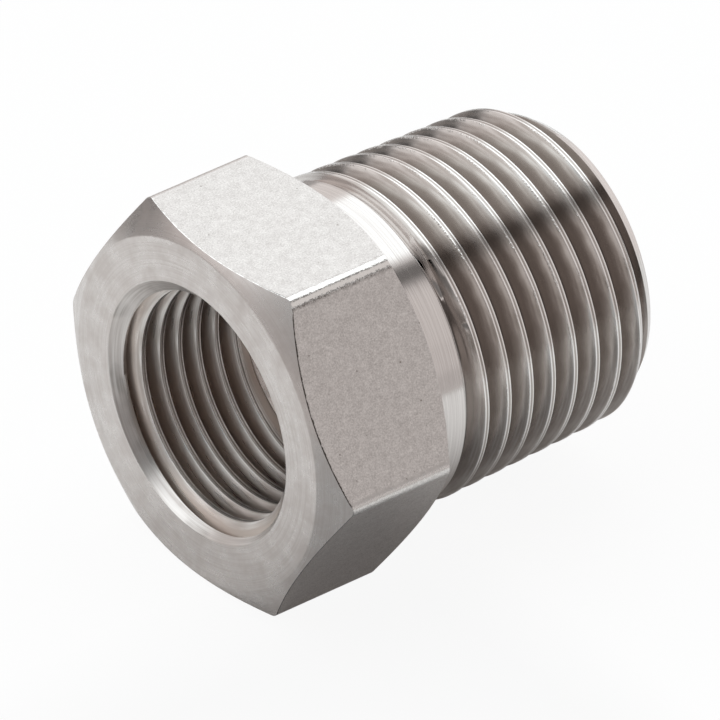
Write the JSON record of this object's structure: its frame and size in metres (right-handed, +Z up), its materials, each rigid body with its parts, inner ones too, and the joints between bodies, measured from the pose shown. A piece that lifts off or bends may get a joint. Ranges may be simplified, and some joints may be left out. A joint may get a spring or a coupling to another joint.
{
  "type": "hex reducing bushing",
  "caption": "Hexagonal reducing bushing with a tapered outside pipe thread and a smaller tapered inside pipe thread, open right through.",
  "frame": {"origin": "on the floor under the bushing, at the middle of its length, on the flat of the hex that it lies on", "axes": "+X along the bushing's axis from the hex face to the outside thread's end; +Z up, square to the hex flat it lies on; +Y to the side, over a corner of the hex"},
  "size_m": [0.0286, 0.0272, 0.0238],
  "materials": {
    "stainless_steel": "bright turned and milled stainless steel"
  },
  "bodies": {
    "root": {"hex_bushing": "stainless_steel"}
  },
  "joints": []
}
